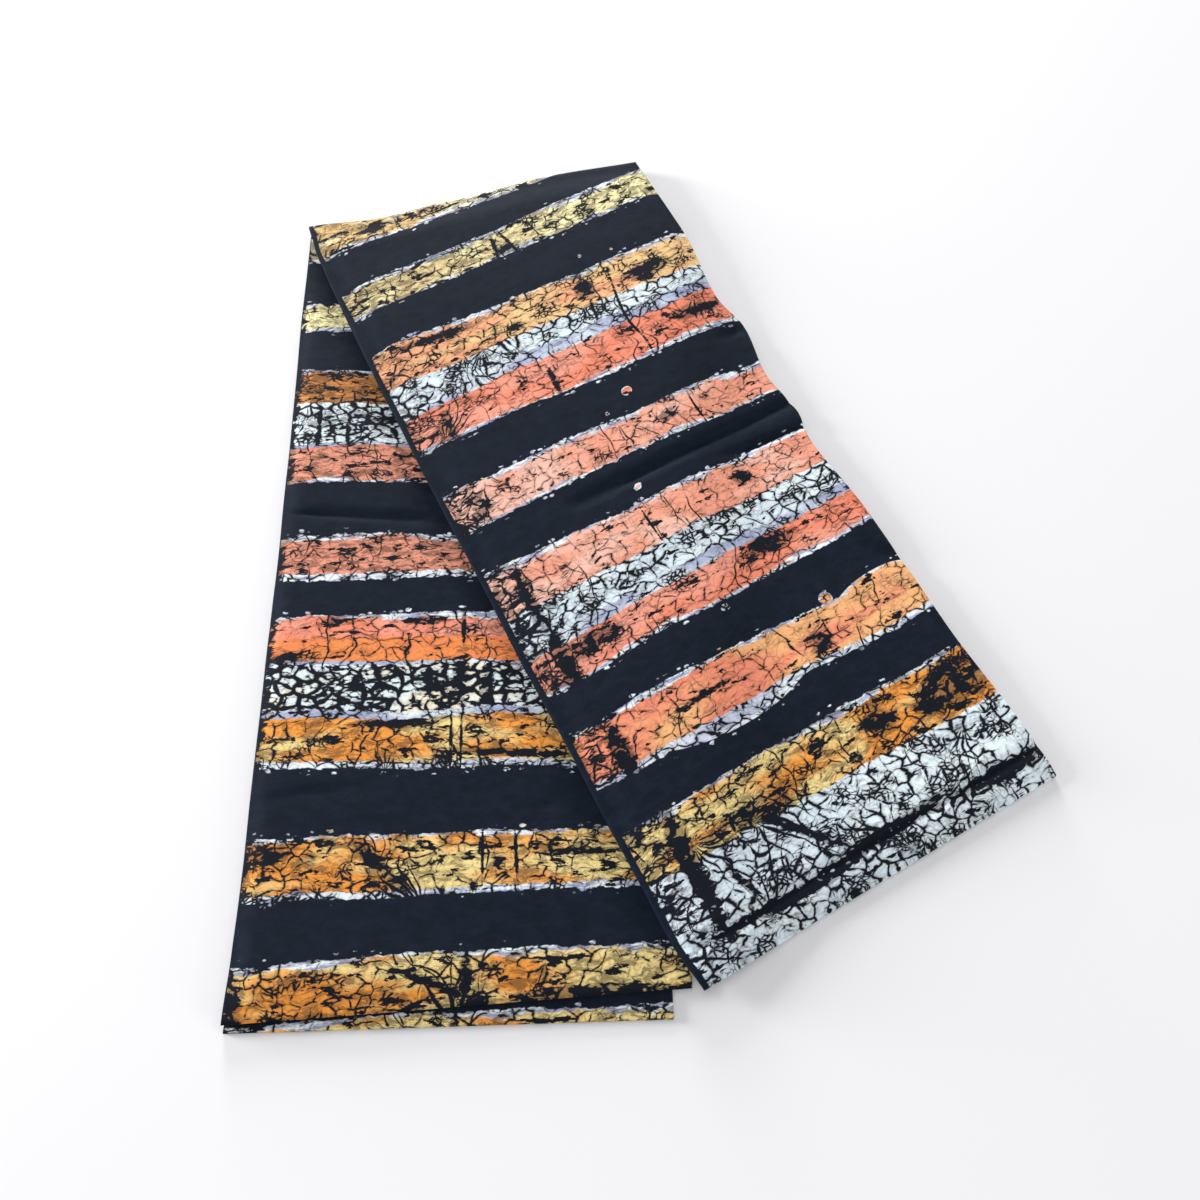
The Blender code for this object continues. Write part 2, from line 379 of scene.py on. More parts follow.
# Dark marks, in millimetres: bars where the cloth was once folded, blots and single cracks.
# Columns: distance along, distance across, half its size across, half its size along, turn in
# degrees, how strongly it darkens
MARKS = {
    "right": (
        (400, 0, 38, 420, 0, 4),
        (393, 24, 7.8, 36, 0, 9),
        (446, 26, 10.5, 26, 4, 9),
        (523, 29, 9.5, 28, -2, 9),
        (612, 33, 9, 54, 0, 9),
        (312, 24, 13, 15, 0, 7),
        (236, 24, 16, 13, -35, 5),
        (170, 185, 10.5, 9, 0, 10),
        (29, 50, 12, 8, 0, 9),
        (97, 134, 2.2, 18, 8, 9.5),
        (97, 147, 2, 18, -14, 9.5),
        (102, 141, 16, 6, 0, 6.5),
        (159, 50, 52, 5, 4, 6),
        (236, 33, 5, 26, 0, 8),
        (240, 122, 3, 20, 0, 9),
        (175, 240, 24, 9.5, 0, 9.5),
        (231, 262, 34, 8, 0, 7.5),
        (209, 206, 1.6, 56, 3, 10),
        (313, 216, 1.3, 22, 4, 10),
        (309, 192, 15, 7, 0, 7),
        (382, 218, 15, 8, 20, 7),
        (440, 201, 32, 10, 0, 7),
        (443, 48, 30, 10, 0, 7),
        (518, 197, 13, 14, 20, 7),
        (515, 103, 30, 2.6, -4, 9),
        (583, 250, 20, 6.5, -20, 7),
        (588, 198, 20, 7, 10, 7),
        (592, 262, 44, 18, -12, 5),
        (599, 86, 18, 6, 0, 7),
        (600, 92, 44, 11, 6, 4.5),
        (618, 104, 48, 3.4, 48, 8.5),
        (634, 58, 20, 3, 66, 8),
        (656, 78, 70, 5.2, 2.5, 9.5),
        (652, 160, 70, 5.6, -2.5, 9.5),
        (656, 250, 60, 7.5, 1.5, 9),
        (469, 79, 1.4, 14, 0, 10),
        (386, 133, 1.2, 18, 0, 10),
    ),
    "left": (
        (320, 0, 6.5, 380, 0, 6),
        (196, 62, 80, 19, 0, 4.5),
        (196, 22, 3, 22, 0, 8),
        (404, 138, 8.1, 26, 0, 5),
        (412, 156, 6.1, 18, 0, 6),
        (450, 132, 1.4, 22, 0, 10),
        (450, 139, 1.3, 22, 0, 10),
        (368, 139, 2, 18, 0, 10),
        (528, 87, 5, 32, 53, 6.5),
        (520, 16, 19, 5.5, 0, 7),
        (361, 49, 17, 4.5, 0, 7),
        (362, 112, 18, 4, 0, 9),
        (387, 15, 18, 6, 0, 7),
        (411, 62, 36, 13, 0, 2),
        (409, 118, 14, 13, 0, 4),
        (458, 170, 62, 3.2, -2, 9),
        (437, 92, 36, 3.6, 0, 9),
        (611, 226, 62, 5.5, 0, 7),
        (525, 221, 32, 2.8, 0, 9),
        (526, 155, 1.4, 20, 0, 10),
        (526, 177, 1.6, 20, 3, 10),
        (606, 4, 9, 16, 0, 7),
        (596, 146, 4.5, 16, 0, 8.5),
        (612, 153, 14, 7, 0, 7),
        (600, 124, 29, 2.8, -22, 9),
        (615, 109, 16, 2.2, 27, 8.5),
        (619, 150, 28, 3.5, 0, 8.5),
    ),
}

# Cracks that fan out from a point, in millimetres. Columns: distance along, distance across,
# heading in degrees (0 to the right across the band, 90 away from the fold), reach, how many
# would go all the way round, half their width at the point
FANS = {
    "right": (
        (604, 84, 35, 125, 16, 2),
        (598, 42, 48, 130, 19, 1.6),
        (662, 62, -62, 95, 17, 1.4),
        (668, 168, -105, 85, 18, 1.2),
        (618, 246, 115, 75, 18, 1.2),
        (414, 4, 8, 85, 20, 1.3),
        (252, 26, -58, 70, 24, 1.4),
        (186, 84, 118, 60, 24, 1.3),
    ),
    "left": (
        (622, 150, -140, 120, 18, 1.6),
        (618, 120, 178, 90, 34, 1),
        (556, 114, -132, 95, 22, 1.5),
        (472, 87, -90, 40, 26, 1),
    ),
}

# How unevenly the fans' cracks reach (factor and offset), how far they sway as a share of the
# round, half their width where they end (below zero, so they end before), how much they narrow
# to the sides, and the most that half a crack's width is of the space between two
FAN_UNEVEN = (3.2, -0.6)
FAN_SWAY = 0.28
FAN_END = -0.4
FAN_NARROWING = -0.2
FAN_FULLEST = 0.3

# The weave: how much more the threads are uneven than they stand out, and their height in metres
THREAD_UNEVEN = 1.6
THREAD_HEIGHT = 0.0002

# The studio's soft boxes. Columns: name, place, width, power in watts
LAMPS = (
    ("overhead", (-0.6, 0.8, 2.6), 1.6, 12.0),
    ("low left", (-4.2, 0.8, 0.72), 1.3, 330.0),
    ("low back", (-1.2, 4.2, 0.72), 1.3, 245.0),
    ("low right", (3.8, -1.6, 0.72), 1.3, 60.0),
)
SKY_STRENGTH = 0.55


def mix(start, end, share):
    """The value this share of the way from start to end."""
    return start + (end - start) * share


def smooth(share):
    """Rises smoothly from 0 to 1 as share goes from 0 to 1."""
    share = min(1.0, max(0.0, share))
    return share * share * (3.0 - 2.0 * share)


def linear(hex_colour):
    """An sRGB hex colour as linear red, green, blue and alpha."""
    parts = [int(hex_colour[i:i + 2], 16) / 255.0 for i in (1, 3, 5)]
    return [c / 12.92 if c <= 0.04045 else ((c + 0.055) / 1.055) ** 2.4 for c in parts] + [1.0]


def read_wave(rows, place, column):
    """The value of a table's column at a place between its rows, smoothly joined."""
    for low, high in zip(rows, rows[1:]):
        if place <= high[0]:
            share = (place - low[0]) / (high[0] - low[0])
            return mix(low[column], high[column], smooth(share))
    return rows[-1][column]


class ClothSizes(bpy.types.PropertyGroup):
    """The sizes of the folded cloth."""

    band_width: bpy.props.FloatProperty(
        name="Band width", description="Width of the cloth once it is folded in four across",
        default=0.28575, min=0.05, subtype="DISTANCE", unit="LENGTH")
    leaf_thickness: bpy.props.FloatProperty(
        name="Leaf thickness", description="Thickness of one leaf, which is four plies of cotton",
        default=0.0012, min=0.0002, precision=4, subtype="DISTANCE", unit="LENGTH")
    leaf_pitch: bpy.props.FloatProperty(
        name="Leaf pitch", description="Height from one leaf to the next",
        default=0.0016, min=0.0003, precision=4, subtype="DISTANCE", unit="LENGTH")
    half_angle: bpy.props.FloatProperty(
        name="Half angle", description="Half the angle between the two legs of the V",
        default=math.radians(12.9), subtype="ANGLE", unit="ROTATION")
    heading: bpy.props.FloatProperty(
        name="Heading", description="How far the oblique fold is turned from the X axis",
        default=math.radians(17.85), subtype="ANGLE", unit="ROTATION")


class DyeColours(bpy.types.PropertyGroup):
    """The colours that every stripe shares, and the scale of the weave."""

    ground: bpy.props.FloatVectorProperty(
        name="Ground", description="The last, darkest indigo bath",
        default=linear("#0F1825")[:3], size=3, subtype="COLOR", min=0.0, max=1.0)
    vein: bpy.props.FloatVectorProperty(
        name="Crackle", description="Indigo that ran into the cracks of the wax",
        default=linear("#10141E")[:3], size=3, subtype="COLOR", min=0.0, max=1.0)
    brown: bpy.props.FloatVectorProperty(
        name="Brown", description="Where indigo stained the warm dyes",
        default=linear("#4A3A2A")[:3], size=3, subtype="COLOR", min=0.0, max=1.0)
    bare: bpy.props.FloatVectorProperty(
        name="Bare cotton", description="Cotton that the wax kept bare along a stripe's edge",
        default=linear("#E6F0F6")[:3], size=3, subtype="COLOR", min=0.0, max=1.0)
    lilac: bpy.props.FloatVectorProperty(
        name="Pale indigo", description="Bare cotton that took a little of the indigo",
        default=linear("#A3AACB")[:3], size=3, subtype="COLOR", min=0.0, max=1.0)
    thread_spacing: bpy.props.FloatProperty(
        name="Thread spacing", description="Distance between the threads as drawn",
        default=0.0011, min=0.0003, precision=4, subtype="DISTANCE", unit="LENGTH")


class StageSizes(bpy.types.PropertyGroup):
    """The floor, the light and the camera."""

    floor_width: bpy.props.FloatProperty(
        name="Floor width", description="Width of the pale floor",
        default=12.0, min=1.0, subtype="DISTANCE", unit="LENGTH")
    camera_place: bpy.props.FloatVectorProperty(
        name="Camera place", description="Where the camera stands",
        default=(-0.0254, -0.2857, 0.5854), size=3, subtype="TRANSLATION", unit="LENGTH")
    camera_tilt: bpy.props.FloatProperty(
        name="Camera tilt", description="Angle of the view from straight down",
        default=math.radians(20.9), subtype="ANGLE", unit="ROTATION")
    camera_roll: bpy.props.FloatProperty(
        name="Camera roll", description="Turn of the picture about its middle",
        default=math.radians(3.2), subtype="ANGLE", unit="ROTATION")
    lens: bpy.props.FloatProperty(
        name="Lens", description="Focal length on a 36 mm wide sensor, in millimetres",
        default=25.5, min=10.0)


class BandShape:
    """Works out where each point of the folded band lies."""

    def __init__(self, sizes):
        self.width = sizes.band_width
        self.thickness = sizes.leaf_thickness
        self.pitch = sizes.leaf_pitch
        self.half_angle = sizes.half_angle
        inner = sizes.band_width / 2.0
        steps = [mix(EDGE_COLUMNS[-1], inner, i * 2.0 / MIDDLE_COLUMNS)
                 for i in range(1, MIDDLE_COLUMNS // 2 + 1)]
        half = list(EDGE_COLUMNS) + steps
        across = half + [self.width - x for x in reversed(half[:-1])]
        self.columns = [x / self.width for x in across]

    def leg_axes(self, leg):
        """The directions along a leg, away from the fold, and across it, to the right."""
        side = -1.0 if leg == "left" else 1.0
        along = Vector((side * math.sin(self.half_angle), -math.cos(self.half_angle)))
        across = Vector((math.cos(self.half_angle), side * math.sin(self.half_angle)))
        return along, across

    def in_leg(self, leg, point):
        """A point's distances along and across a leg."""
        along, across = self.leg_axes(leg)
        return point.dot(along), point.dot(across)

    def place_on_leg(self, leaf, place, share):
        """A leaf's point on the floor plan, at a place along the leg and a share of its width."""
        leg, level, _, reach_left, reach_right, end_shift = leaf
        along, across = self.leg_axes(leg)
        side = -1.0 if leg == "left" else 1.0
        reach = mix(reach_left, reach_right, share)
        if place > SHORTENED_FROM:
            last = (place - SHORTENED_FROM) / (1.0 - SHORTENED_FROM)
            place = mix(SHORTENED_FROM, reach, last)
        at_fold = side * share * self.width * math.tan(self.half_angle)
        at_end = mix(*LEG_LENGTH[leg], share)
        left_shift = read_wave(EDGE_WAVES[leg], place, 1)
        right_shift = read_wave(EDGE_WAVES[leg], place, 2) + end_shift * smooth(place)
        stray = smooth(place * EDGE_STRAY_BEGINS) * EDGE_STRAY
        wave, leaf_seed = place * EDGE_STRAY_WAVES, level * LEAF_SEED
        left_shift += stray * noise.noise((wave, leaf_seed, side))
        right_shift += stray * noise.noise((wave, leaf_seed, side + RIGHT_EDGE_SEED))
        distance_along = mix(at_fold, at_end, place)
        distance_across = share * self.width + mix(left_shift, right_shift, share)
        point = along * distance_along + across * distance_across
        fade = 1.0 - smooth((distance_along - at_fold) / FOLD_WAVE_REACH)
        point.y += read_wave(FOLD_WAVE, share, 1) * fade
        return point

    def crease_share(self, leg, along, across):
        """How much of the slack the creases leave at this point of a leg."""
        left = 1.0
        for start, end, near, far, half_width, depth in CREASES[leg]:
            line = mix(start, end, (across - near) / (far - near))
            nearness = 1.0 - smooth(abs(along - line) / half_width)
            if nearness > 0.0:
                ends = smooth((across - near) / CREASE_END_FADE)
                ends *= smooth((far - across) / CREASE_END_FADE)
                left *= 1.0 - depth * ends * nearness
        return left

    def slack(self, leg, point, place):
        """How much higher than its pitch the top leaf of a leg lies at a point."""
        along, across = self.in_leg(leg, point)
        length = sum(LEG_LENGTH[leg]) / 2.0
        rise = smooth(across / SLACK_EDGE) * smooth((self.width - across) / SLACK_EDGE)
        rise *= smooth(place * length / SLACK_END) * smooth((1.0 - place) * length / SLACK_END)
        if leg == "left":
            covered = -self.in_leg("right", point)[1] - COVERED_MARGIN
            rise *= smooth(covered / COVERED_FADE)
        if rise == 0.0:
            return 0.0
        height = SLACK_RISE[leg] * self.crease_share(leg, along, across)
        for wide, long, high in RIPPLES:
            height += high * noise.noise((across / wide, along / long, RIPPLE_SEEDS[leg]))
        return rise * max(0.0, height)

    def carried_height(self, point):
        """The height of what the right leg lies on: the left leg, and past its edge the floor."""
        fold_end = Vector((self.width / math.cos(self.half_angle), 0.0))
        past_edge = (point - fold_end).dot(self.leg_axes("left")[1])
        below = LEAVES_BELOW_RIGHT * self.pitch
        return below * (1.0 - smooth((past_edge - DROP_START) / DROP_WIDTH))

    def leaf_height(self, leaf, point, place):
        """The height of the middle of a leaf at a point of the floor plan."""
        leg, level = leaf[0], leaf[1]
        height = self.thickness / 2.0
        if leg == "right":
            height += self.carried_height(point) + (level - LEAVES_BELOW_RIGHT) * self.pitch
        else:
            height += level * self.pitch
        if level == TOP_LEVEL[leg]:
            height += self.slack(leg, point, place)
            if leg == "right":
                height -= SINK_DEPTH * smooth((place - SINK_START) / (1.0 - SINK_START))
        return height

    def dye_place(self, leg, along, across):
        """Where on the dye map a distance along a leg is. Stripes are straight there."""
        share = across / self.width
        edges = []
        for start_left, start_right, end_left, end_right, _ in STRIPES[leg]:
            edges.append((mix(start_left, start_right, share), (start_left + start_right) / 2.0))
            edges.append((mix(end_left, end_right, share), (end_left + end_right) / 2.0))
        for low, high in zip(edges, edges[1:]):
            if along < high[0]:
                return mix(low[1], high[1], (along - low[0]) / max(high[0] - low[0], 1e-6))
        return along

    def leaf_row(self, leaf, place):
        """One row across a leaf: its points, and their places along the band on the dye map."""
        points, dyes = [], []
        leg, level = leaf[0], leaf[1]
        for share in self.columns:
            point = self.place_on_leg(leaf, place, share)
            points.append(Vector((point.x, point.y, self.leaf_height(leaf, point, place))))
            along = self.in_leg(leg, point)[0]
            dye = self.dye_place(leg, along, share * self.width)
            dye += self.turn_length(leg, level) / 2.0
            if level != TOP_LEVEL[leg]:
                dye -= HIDDEN_DYE_SHIFT[leg] * smooth(place * HIDDEN_SHIFT_BEGINS)
            dyes.append(dye if leg == "right" else -dye)
        return points, dyes

    def turn_length(self, leg, level):
        """The length of the band in its turn round the oblique fold, at a level."""
        middle = (2 * LEAVES_BELOW_RIGHT - 1) / 2.0
        return math.pi * abs(level - middle) * self.pitch

    def turn_rows(self, before, after, outwards, at_fold):
        """The rows round a half turn that joins two rows, one over the other."""
        rows = []
        for step in range(1, TURN_STEPS):
            share = step / TURN_STEPS
            angle = math.pi * share
            points, dyes = [], []
            for start, end, dye, next_dye in zip(before[0], after[0], before[1], after[1]):
                radius = abs(end.z - start.z) / 2.0
                point = mix(start, end, (1.0 - math.cos(angle)) / 2.0)
                points.append(point + outwards * radius * math.sin(angle))
                bulge = 0.0 if at_fold else math.pi * radius * min(share, 1.0 - share)
                dyes.append(mix(dye, next_dye, share) + math.copysign(bulge, dye))
            rows.append((points, dyes))
        return rows

    def with_fine_rows(self, leg, places):
        """A leg's row places, closer together where its sharpest crease is."""
        start, end, step = (value / LEG_LENGTH[leg][0] for value in FINE_ROWS[leg])
        count = round((end - start) / step)
        fine = [start + i * step for i in range(count + 1)]
        return sorted([p for p in places if p < start - step or p > end + step] + fine)

    def rows(self):
        """All rows of the band, from its first end to its last."""
        rows = []
        for number, leaf in enumerate(LEAVES):
            leg, level, way = leaf[:3]
            steps = TOP_STEPS[leg] if level == TOP_LEVEL[leg] else HIDDEN_STEPS
            places = [step / steps for step in range(steps + 1)]
            if leg == "right":
                places = sorted(set(places) | {SINK_START})
            if level == TOP_LEVEL[leg]:
                places = self.with_fine_rows(leg, places)
            new_rows = [self.leaf_row(leaf, place) for place in places[::way]]
            if number:
                at_fold = leg != LEAVES[number - 1][0]
                outwards = Vector((0.0, 1.0, 0.0)) if at_fold else self.leg_axes(leg)[0].to_3d()
                rows.extend(self.turn_rows(rows[-1], new_rows[0], outwards, at_fold))
            rows.extend(new_rows)
        return rows


def surface_normals(rows):
    """The direction out of the band's face at each point of its rows."""
    normals = []
    for number, (points, _) in enumerate(rows):
        before = rows[max(number - 1, 0)][0]
        after = rows[min(number + 1, len(rows) - 1)][0]
        row = []
        for column in range(len(points)):
            across = points[min(column + 1, len(points) - 1)] - points[max(column - 1, 0)]
            row.append(across.cross(after[column] - before[column]).normalized())
        normals.append(row)
    return normals


def ring_points(shape, row, row_normals):
    """The closed ring round one row of the band, and the dye map's place of each of its points."""
    points, dyes = row
    half = shape.thickness / 2.0
    last = len(points) - 1
    ring, places = [], []
    outward = {
        0: (points[0] - points[1]).normalized(),
        last: (points[last] - points[last - 1]).normalized(),
    }
    for column in range(last + 1):
        ring.append(points[column] + row_normals[column] * half)
        places.append((shape.columns[column] * shape.width, dyes[column]))
    for step in range(1, RIM_STEPS):
        angle = math.pi * step / RIM_STEPS
        turned = row_normals[last] * math.cos(angle) + outward[last] * math.sin(angle)
        ring.append(points[last] + turned * half)
        places.append((shape.width + half * min(angle, math.pi - angle), dyes[last]))
    for column in range(last, -1, -1):
        ring.append(points[column] - row_normals[column] * half)
        places.append((shape.columns[column] * shape.width, dyes[column]))
    for step in range(1, RIM_STEPS):
        angle = math.pi * step / RIM_STEPS
        turned = outward[0] * math.sin(angle) - row_normals[0] * math.cos(angle)
        ring.append(points[0] + turned * half)
        places.append((-half * min(angle, math.pi - angle), dyes[0]))
    return ring, places


def band_mesh(shape, heading):
    """The closed sheet of the folded band, with its dye map."""
    rows = shape.rows()
    normals = surface_normals(rows)
    points, places, faces = [], [], []
    for row, row_normals in zip(rows, normals):
        ring, ring_places = ring_points(shape, row, row_normals)
        points.extend(ring)
        places.extend(ring_places)
    size = len(ring)
    for row in range(0, (len(rows) - 1) * size, size):
        for i in range(size):
            j = (i + 1) % size
            faces.append((row + i, row + j, row + size + j, row + size + i))
    last = len(shape.columns) - 1
    for start, flip in ((0, False), ((len(rows) - 1) * size, True)):
        ring = [start + i for i in range(size)]
        faces.extend(cap_faces(ring, last, flip))
    mesh = bpy.data.meshes.new("adire_cloth")
    mesh.from_pydata(points, [], faces)
    dye_map = mesh.uv_layers.new(name="dye map")
    for loop in mesh.loops:
        dye_map.data[loop.index].uv = places[loop.vertex_index]
    mesh.transform(Matrix.Rotation(heading, 4, "Z"))
    return mesh


def cap_faces(ring, last, flip):
    """The faces that close an end of the band: strips from its upper to its lower side."""
    top = ring[:last + 1]
    right_rim = ring[last + 1:last + RIM_STEPS]
    bottom = ring[last + RIM_STEPS:2 * last + RIM_STEPS + 1][::-1]
    left_rim = ring[2 * last + RIM_STEPS + 1:]
    faces = [(top[i], top[i + 1], bottom[i + 1], bottom[i]) for i in range(last)]
    faces.append((top[last], *right_rim, bottom[last]))
    faces.append((bottom[0], *left_rim, top[0]))
    return faces if flip else [face[::-1] for face in faces]


def stripe_zones(leg, shift):
    """A leg's stripes on the dye map in millimetres from the fold: start, end and dye."""
    zones = []
    for start_left, start_right, end_left, end_right, dye in STRIPES[leg]:
        start = (start_left + start_right) / 2.0 / MM + shift
        end = (end_left + end_right) / 2.0 / MM + shift
        zones.append((start, end, dye))
    return zones


def distance_stops(zones, reach):
    """Ramp stops that give the distance into the nearest dyed run, above one half inside it."""
    runs = []
    for start, end, _ in zones:
        if runs and start - runs[-1][1] < 1.0:
            runs[-1][1] = end
        else:
            runs.append([start, end])
    corners = []
    for number, (start, end) in enumerate(runs):
        corners.append(((start + end) / 2.0, (end - start) / 2.0))
        if number + 1 < len(runs):
            gap = runs[number + 1][0] - end
            corners.append((end + gap / 2.0, -gap / 2.0))
    corners[0] = (0.0, runs[0][1])
    corners[-1] = (reach, reach - runs[-1][0])
    stops = ["LINEAR"]
    for place, depth in corners:
        value = 0.5 + depth * MM / DISTANCE_RANGE
        stops.append((place / reach, (value, value, value, 1.0)))
    return stops


def colour_stops(zones, reach, column):
    """Ramp stops that give each stripe's first or second colour, with a strength as its alpha."""
    stops = ["CONSTANT"]
    for number, (start, _, dye) in enumerate(zones):
        begin = (start + zones[number - 1][1]) / 2.0 if number else start
        colour = linear(DYES[dye][column])
        colour[3] = DYES[dye][column + 2]
        stops.append((max(begin, 0.0) / reach, colour))
    return stops


def by_leg(table):
    """The rows of a table that has a part for each leg, each row with its leg first."""
    return [(leg, *row) for leg, rows in table.items() for row in rows]


class DyedCotton:
    """The material: plain woven cotton, waxed, dyed in stripes and dipped in indigo last.

    Cotton is matt, and its threads show as a fine grain. The dye is in the threads, so nothing
    shines but the faint nap. Where the wax cracked, the last indigo bath left dark lines.

    Places on the dye map are vectors (U, V, 1) in millimetres. What is dyed or dark is told in
    millimetres too, as the depth into it: above zero inside it.
    """

    def __init__(self, shape, colours):
        self.colours = colours
        self.material = bpy.data.materials.new("wax-resist dyed cotton")
        self.material.use_nodes = True
        self.tree = self.material.node_tree
        self.tree.nodes.clear()
        self.width = shape.width / MM
        self.shift = {
            leg: shape.turn_length(leg, TOP_LEVEL[leg]) / 2.0 / MM for leg in TOP_LEVEL
        }

    def add(self, kind, *inputs, stops=(), **settings):
        """Adds a shader node and gives its output. Inputs are values or sockets in order, or pairs
        of an input's name and its value or socket. Stops are the kind of a colour ramp and then
        its pairs of place and colour."""
        node = self.tree.nodes.new("ShaderNode" + kind)
        for name, value in settings.items():
            setattr(node, name, value)
        for number, value in enumerate(inputs):
            if isinstance(value, tuple) and isinstance(value[0], str):
                name, value = value
                named = [socket for socket in node.inputs if socket.name == name]
                socket = [socket for socket in named if socket.enabled][0]
            else:
                socket = node.inputs[number]
            if isinstance(value, bpy.types.NodeSocket):
                self.tree.links.new(value, socket)
            else:
                socket.default_value = value
        if stops:
            ramp = node.color_ramp
            ramp.interpolation = stops[0]
            while len(ramp.elements) < len(stops) - 1:
                ramp.elements.new(1.0)
            for element, (place, colour) in zip(ramp.elements, stops[1:]):
                element.position = place
                element.color = colour
        return next((output for output in node.outputs if output.enabled), None)

    def shared(self, name):
        """One of the colours that all stripes share, with its alpha."""
        return (*getattr(self.colours, name), 1.0)

    def signed(self, leg, along):
        """A distance along a leg, in millimetres, as the V of the dye map."""
        return along + self.shift["right"] if leg == "right" else -along - self.shift["left"]

    def clouds(self, place, wide, long, seed, detail, rough):
        """Cloudy patches, from 0 to 1, this wide across the band and this long along it."""
        moved = self.add("VectorMath", place, (1.0 / wide, 1.0 / long, 0.0),
                         (seed, seed * 0.7, 0.0), operation="MULTIPLY_ADD")
        return self.add("TexNoise", ("Vector", moved), ("Scale", 1.0), ("Detail", detail),
                        ("Roughness", rough), noise_dimensions="2D")

    def weighted_sum(self, start, *terms):
        """A start value and further values, each times its weight, added up."""
        for value, weight in terms:
            start = self.add("Math", value, weight, start, operation="MULTIPLY_ADD")
        return start

    def deepest(self, depths):
        """The greatest of several depths."""
        deepest = depths[0]
        for depth in depths[1:]:
            deepest = self.add("Math", deepest, depth, operation="MAXIMUM")
        return deepest

    def bent(self, place):
        """A place, moved a little by cloudy noise, so that no crack runs straight."""
        for *cloud, strength in BENDS:
            push = self.clouds(place, *cloud).node.outputs["Color"]
            push = self.add("VectorMath", push, (strength, strength, 0.0),
                            (-strength / 2.0, -strength / 2.0, 0.0), operation="MULTIPLY_ADD")
            place = self.add("VectorMath", place, push, operation="ADD")
        return place

    def wavering(self, place):
        """How far along the band a place is, wavering as a hand-waxed line does."""
        along = self.add("SeparateXYZ", place).node.outputs["Y"]
        for *cloud, height in WAVERS:
            centred = self.add("Math", self.clouds(place, *cloud), -0.5, operation="ADD")
            along = self.add("Math", centred, height, along, operation="MULTIPLY_ADD")
        return along

    def read_stripes(self, along):
        """The depth into the dye, the two colours, how close the crackle is and how mottled."""
        on_right = self.add("Math", along, 0.0, operation="GREATER_THAN")
        found = {}
        for leg, sign in (("left", -1.0), ("right", 1.0)):
            reach = STRIPES[leg][-1][3] / MM + self.shift[leg]
            zones = stripe_zones(leg, self.shift[leg])
            share = self.add("Math", along, sign / reach, operation="MULTIPLY")
            found[leg] = [self.add("ValToRGB", share, stops=distance_stops(zones, reach))]
            for column in (0, 1):
                ramp = self.add("ValToRGB", share, stops=colour_stops(zones, reach, column))
                found[leg] += [ramp, ramp.node.outputs["Alpha"]]
        depth, first, close, second, mottled = [
            self.add("Mix", ("Factor", on_right), ("A", left), ("B", right),
                     data_type="RGBA" if number in (1, 3) else "FLOAT")
            for number, (left, right) in enumerate(zip(found["left"], found["right"]))
        ]
        span = DISTANCE_RANGE / MM
        depth = self.add("Math", depth, span, -span / 2.0, operation="MULTIPLY_ADD")
        return depth, first, second, close, mottled

    def drips(self, place, depth):
        """The depth into the dye, with the single drops and bulges of wax."""
        depths = [depth]
        for leg, along, across, half_across, half_along in by_leg(DRIPS):
            scale = (1.0 / half_across, 1.0 / half_along, 0.0)
            middle = (-across / half_across, -self.signed(leg, along) / half_along, 0.0)
            gap = self.add("VectorMath", place, scale, middle, operation="MULTIPLY_ADD")
            distance = self.add("VectorMath", gap, operation="LENGTH")
            steep = max(half_along, DRIP_STEEPNESS)
            depths.append(self.add("Math", distance, -steep, steep, operation="MULTIPLY_ADD"))
        return self.deepest(depths)

    def spatter(self, place, depth):
        """The depth into the dye with the fine drops of wax beside the stripes, and the depth into
        the drops on the stripes, which part the blackest crackle."""
        wide, long = SPATTER_SPACING
        scaled = self.add("VectorMath", place, (1.0 / wide, 1.0 / long, 0.0),
                          operation="MULTIPLY")
        drop = self.add("TexVoronoi", ("Vector", scaled), ("Scale", 1.0),
                        voronoi_dimensions="2D")
        chance = self.add("SeparateXYZ", drop.node.outputs["Color"])
        found = []
        for least_below, least, most in (SPATTER_BESIDE, SPATTER_ON_STRIPES):
            size = self.add("MapRange", chance, least_below, 1.0, least, most)
            found.append(self.add("Math", drop, -long, size, operation="MULTIPLY_ADD"))
        beside, opening = found
        near = self.add("Math", depth, SPATTER_REACH, operation="ADD")
        beside = self.add("Math", beside, near, operation="MINIMUM")
        return self.add("Math", depth, beside, operation="MAXIMUM"), opening

    def line_width(self, kind, patches, close, most):
        """Half the width of a kind of dark line, wider in patches and where cracks are close."""
        by_closeness, by_patches, start = LINES[kind]
        wanted = self.weighted_sum(start, (close, by_closeness), (patches, by_patches))
        return self.add("Math", wanted, most, operation="MINIMUM")

    def cell_lines(self, place, cell, half_width):
        """Depth into the dark lines between cells of this size."""
        scaled = self.add("VectorMath", place, (1.0 / cell[0], 1.0 / cell[1], 0.0),
                          operation="MULTIPLY")
        edge = self.add("TexVoronoi", ("Vector", scaled), ("Scale", 1.0),
                        feature="DISTANCE_TO_EDGE", voronoi_dimensions="2D")
        return self.add("Math", edge, -min(cell), half_width, operation="MULTIPLY_ADD")

